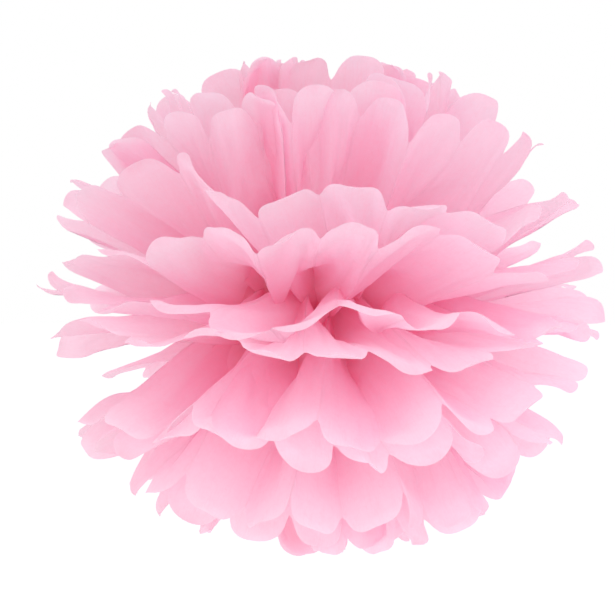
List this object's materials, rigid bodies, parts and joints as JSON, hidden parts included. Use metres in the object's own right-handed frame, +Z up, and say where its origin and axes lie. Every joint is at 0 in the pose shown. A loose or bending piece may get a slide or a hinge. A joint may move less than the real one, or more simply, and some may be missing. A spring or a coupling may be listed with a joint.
{
  "type": "tissue paper pom pom",
  "caption": "Round hanging decoration: tissue sheets pleated together, tied at the waist with wire and fanned open into a ball of petals.",
  "frame": {"origin": "middle of the tie, which is the middle of the ball", "axes": "+Z up towards the hanging eye, through the stack of sheets; Y along the folded strip; X along the seam where each sheet's two fans meet"},
  "size_m": [0.3612, 0.3472, 0.3146],
  "materials": {
    "tissue_paper": "matt, thin and translucent",
    "tie_wire_steel": "bare drawn wire, slightly dull"
  },
  "bodies": {
    "root": {"tissue_sheet_01": "tissue_paper", "tissue_sheet_02": "tissue_paper", "tissue_sheet_03": "tissue_paper", "tissue_sheet_04": "tissue_paper", "tissue_sheet_05": "tissue_paper", "tissue_sheet_06": "tissue_paper", "tissue_sheet_07": "tissue_paper", "tissue_sheet_08": "tissue_paper", "tissue_sheet_09": "tissue_paper", "tissue_sheet_10": "tissue_paper", "tissue_sheet_11": "tissue_paper", "tissue_sheet_12": "tissue_paper", "tie_wire": "tie_wire_steel"}
  },
  "joints": []
}
